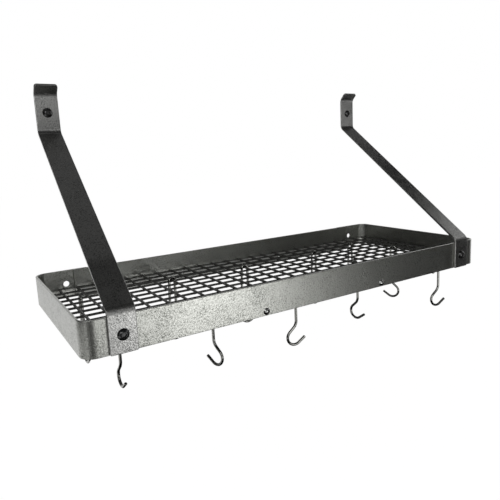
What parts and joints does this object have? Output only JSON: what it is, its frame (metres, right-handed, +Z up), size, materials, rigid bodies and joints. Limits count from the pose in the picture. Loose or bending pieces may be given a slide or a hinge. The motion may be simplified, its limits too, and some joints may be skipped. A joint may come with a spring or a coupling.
{
  "type": "pot rack",
  "caption": "Wall-mounted pot rack: a shallow flat-bar tray with a wire grid floor, two bent strap arms to the wall and swinging S-shaped pan hooks.",
  "frame": {"origin": "on the wall plane, midway between the two lower wall holes in the tray's returned back ends", "axes": "+X along the rack to its right-hand end as seen from the room, +Y into the wall, +Z up"},
  "size_m": [0.8, 0.3468, 0.4822],
  "materials": {
    "hammered_steel": "hammered grey steel under clear lacquer",
    "dark_hammered_steel": "hammered dark grey steel under clear lacquer",
    "dark_steel": "satin dark grey",
    "black_wire": "satin black",
    "black_screw": "black oxide",
    "bright_steel": "polished",
    "hook_steel": "polished rod"
  },
  "bodies": {
    "rack": {"front_band": "hammered_steel", "back_bar": "hammered_steel", "long_wires": "black_wire", "cross_wires": "black_wire", "front_ledge": "dark_steel", "back_ledge": "dark_steel", "front_ledge_bolts": "bright_steel", "front_ledge_nuts": "bright_steel", "back_ledge_bolts": "bright_steel", "back_ledge_nuts": "bright_steel", "left_arm": "dark_hammered_steel", "right_arm": "dark_hammered_steel", "left_foot_screw": "black_screw", "right_foot_screw": "black_screw", "left_foot_nut": "black_screw", "right_foot_nut": "black_screw", "left_wall_screw": "black_screw", "right_wall_screw": "black_screw"},
    "front_hook_1": {"front_hook_1": "hook_steel"},
    "front_hook_2": {"front_hook_2": "hook_steel"},
    "front_hook_3": {"front_hook_3": "hook_steel"},
    "front_hook_4": {"front_hook_4": "hook_steel"},
    "front_hook_5": {"front_hook_5": "hook_steel"},
    "front_hook_6": {"front_hook_6": "hook_steel"},
    "back_hook_1": {"back_hook_1": "hook_steel"},
    "back_hook_2": {"back_hook_2": "hook_steel"},
    "back_hook_3": {"back_hook_3": "hook_steel"},
    "back_hook_4": {"back_hook_4": "hook_steel"},
    "back_hook_5": {"back_hook_5": "hook_steel"}
  },
  "joints": [
    {"name": "front_hook_1_swing", "type": "hinge", "parent": "rack", "child": "front_hook_1", "pos_m": [-0.3211, -0.20393, -0.0127], "axis": [1, 0, 0], "range_deg": [-25, 25]},
    {"name": "front_hook_2_swing", "type": "hinge", "parent": "rack", "child": "front_hook_2", "pos_m": [-0.16506, -0.23014, -0.0127], "axis": [1, 0, 0], "range_deg": [-25, 25]},
    {"name": "front_hook_3_swing", "type": "hinge", "parent": "rack", "child": "front_hook_3", "pos_m": [-0.01822, -0.24854, -0.0087], "axis": [0, 1, 0], "range_deg": [-25, 25]},
    {"name": "front_hook_4_swing", "type": "hinge", "parent": "rack", "child": "front_hook_4", "pos_m": [0.17676, -0.20393, -0.0127], "axis": [1, 0, 0], "range_deg": [-25, 25]},
    {"name": "front_hook_5_swing", "type": "hinge", "parent": "rack", "child": "front_hook_5", "pos_m": [0.348, -0.15149, -0.0127], "axis": [1, 0, 0], "range_deg": [-25, 25]},
    {"name": "front_hook_6_swing", "type": "hinge", "parent": "rack", "child": "front_hook_6", "pos_m": [0.35675, -0.26356, -0.0087], "axis": [0, 1, 0], "range_deg": [-25, 25]},
    {"name": "back_hook_1_swing", "type": "hinge", "parent": "rack", "child": "back_hook_1", "pos_m": [-0.34085, -0.07284, -0.0127], "axis": [1, 0, 0], "range_deg": [-25, 25]},
    {"name": "back_hook_2_swing", "type": "hinge", "parent": "rack", "child": "back_hook_2", "pos_m": [-0.17446, -0.08004, -0.0087], "axis": [0, 1, 0], "range_deg": [-25, 25]},
    {"name": "back_hook_3_swing", "type": "hinge", "parent": "rack", "child": "back_hook_3", "pos_m": [-0.01822, -0.08774, -0.0087], "axis": [0, 1, 0], "range_deg": [-25, 25]},
    {"name": "back_hook_4_swing", "type": "hinge", "parent": "rack", "child": "back_hook_4", "pos_m": [0.16926, -0.08024, -0.0087], "axis": [0, 1, 0], "range_deg": [-25, 25]},
    {"name": "back_hook_5_swing", "type": "hinge", "parent": "rack", "child": "back_hook_5", "pos_m": [0.31076, -0.04662, -0.0127], "axis": [1, 0, 0], "range_deg": [-25, 20]}
  ]
}
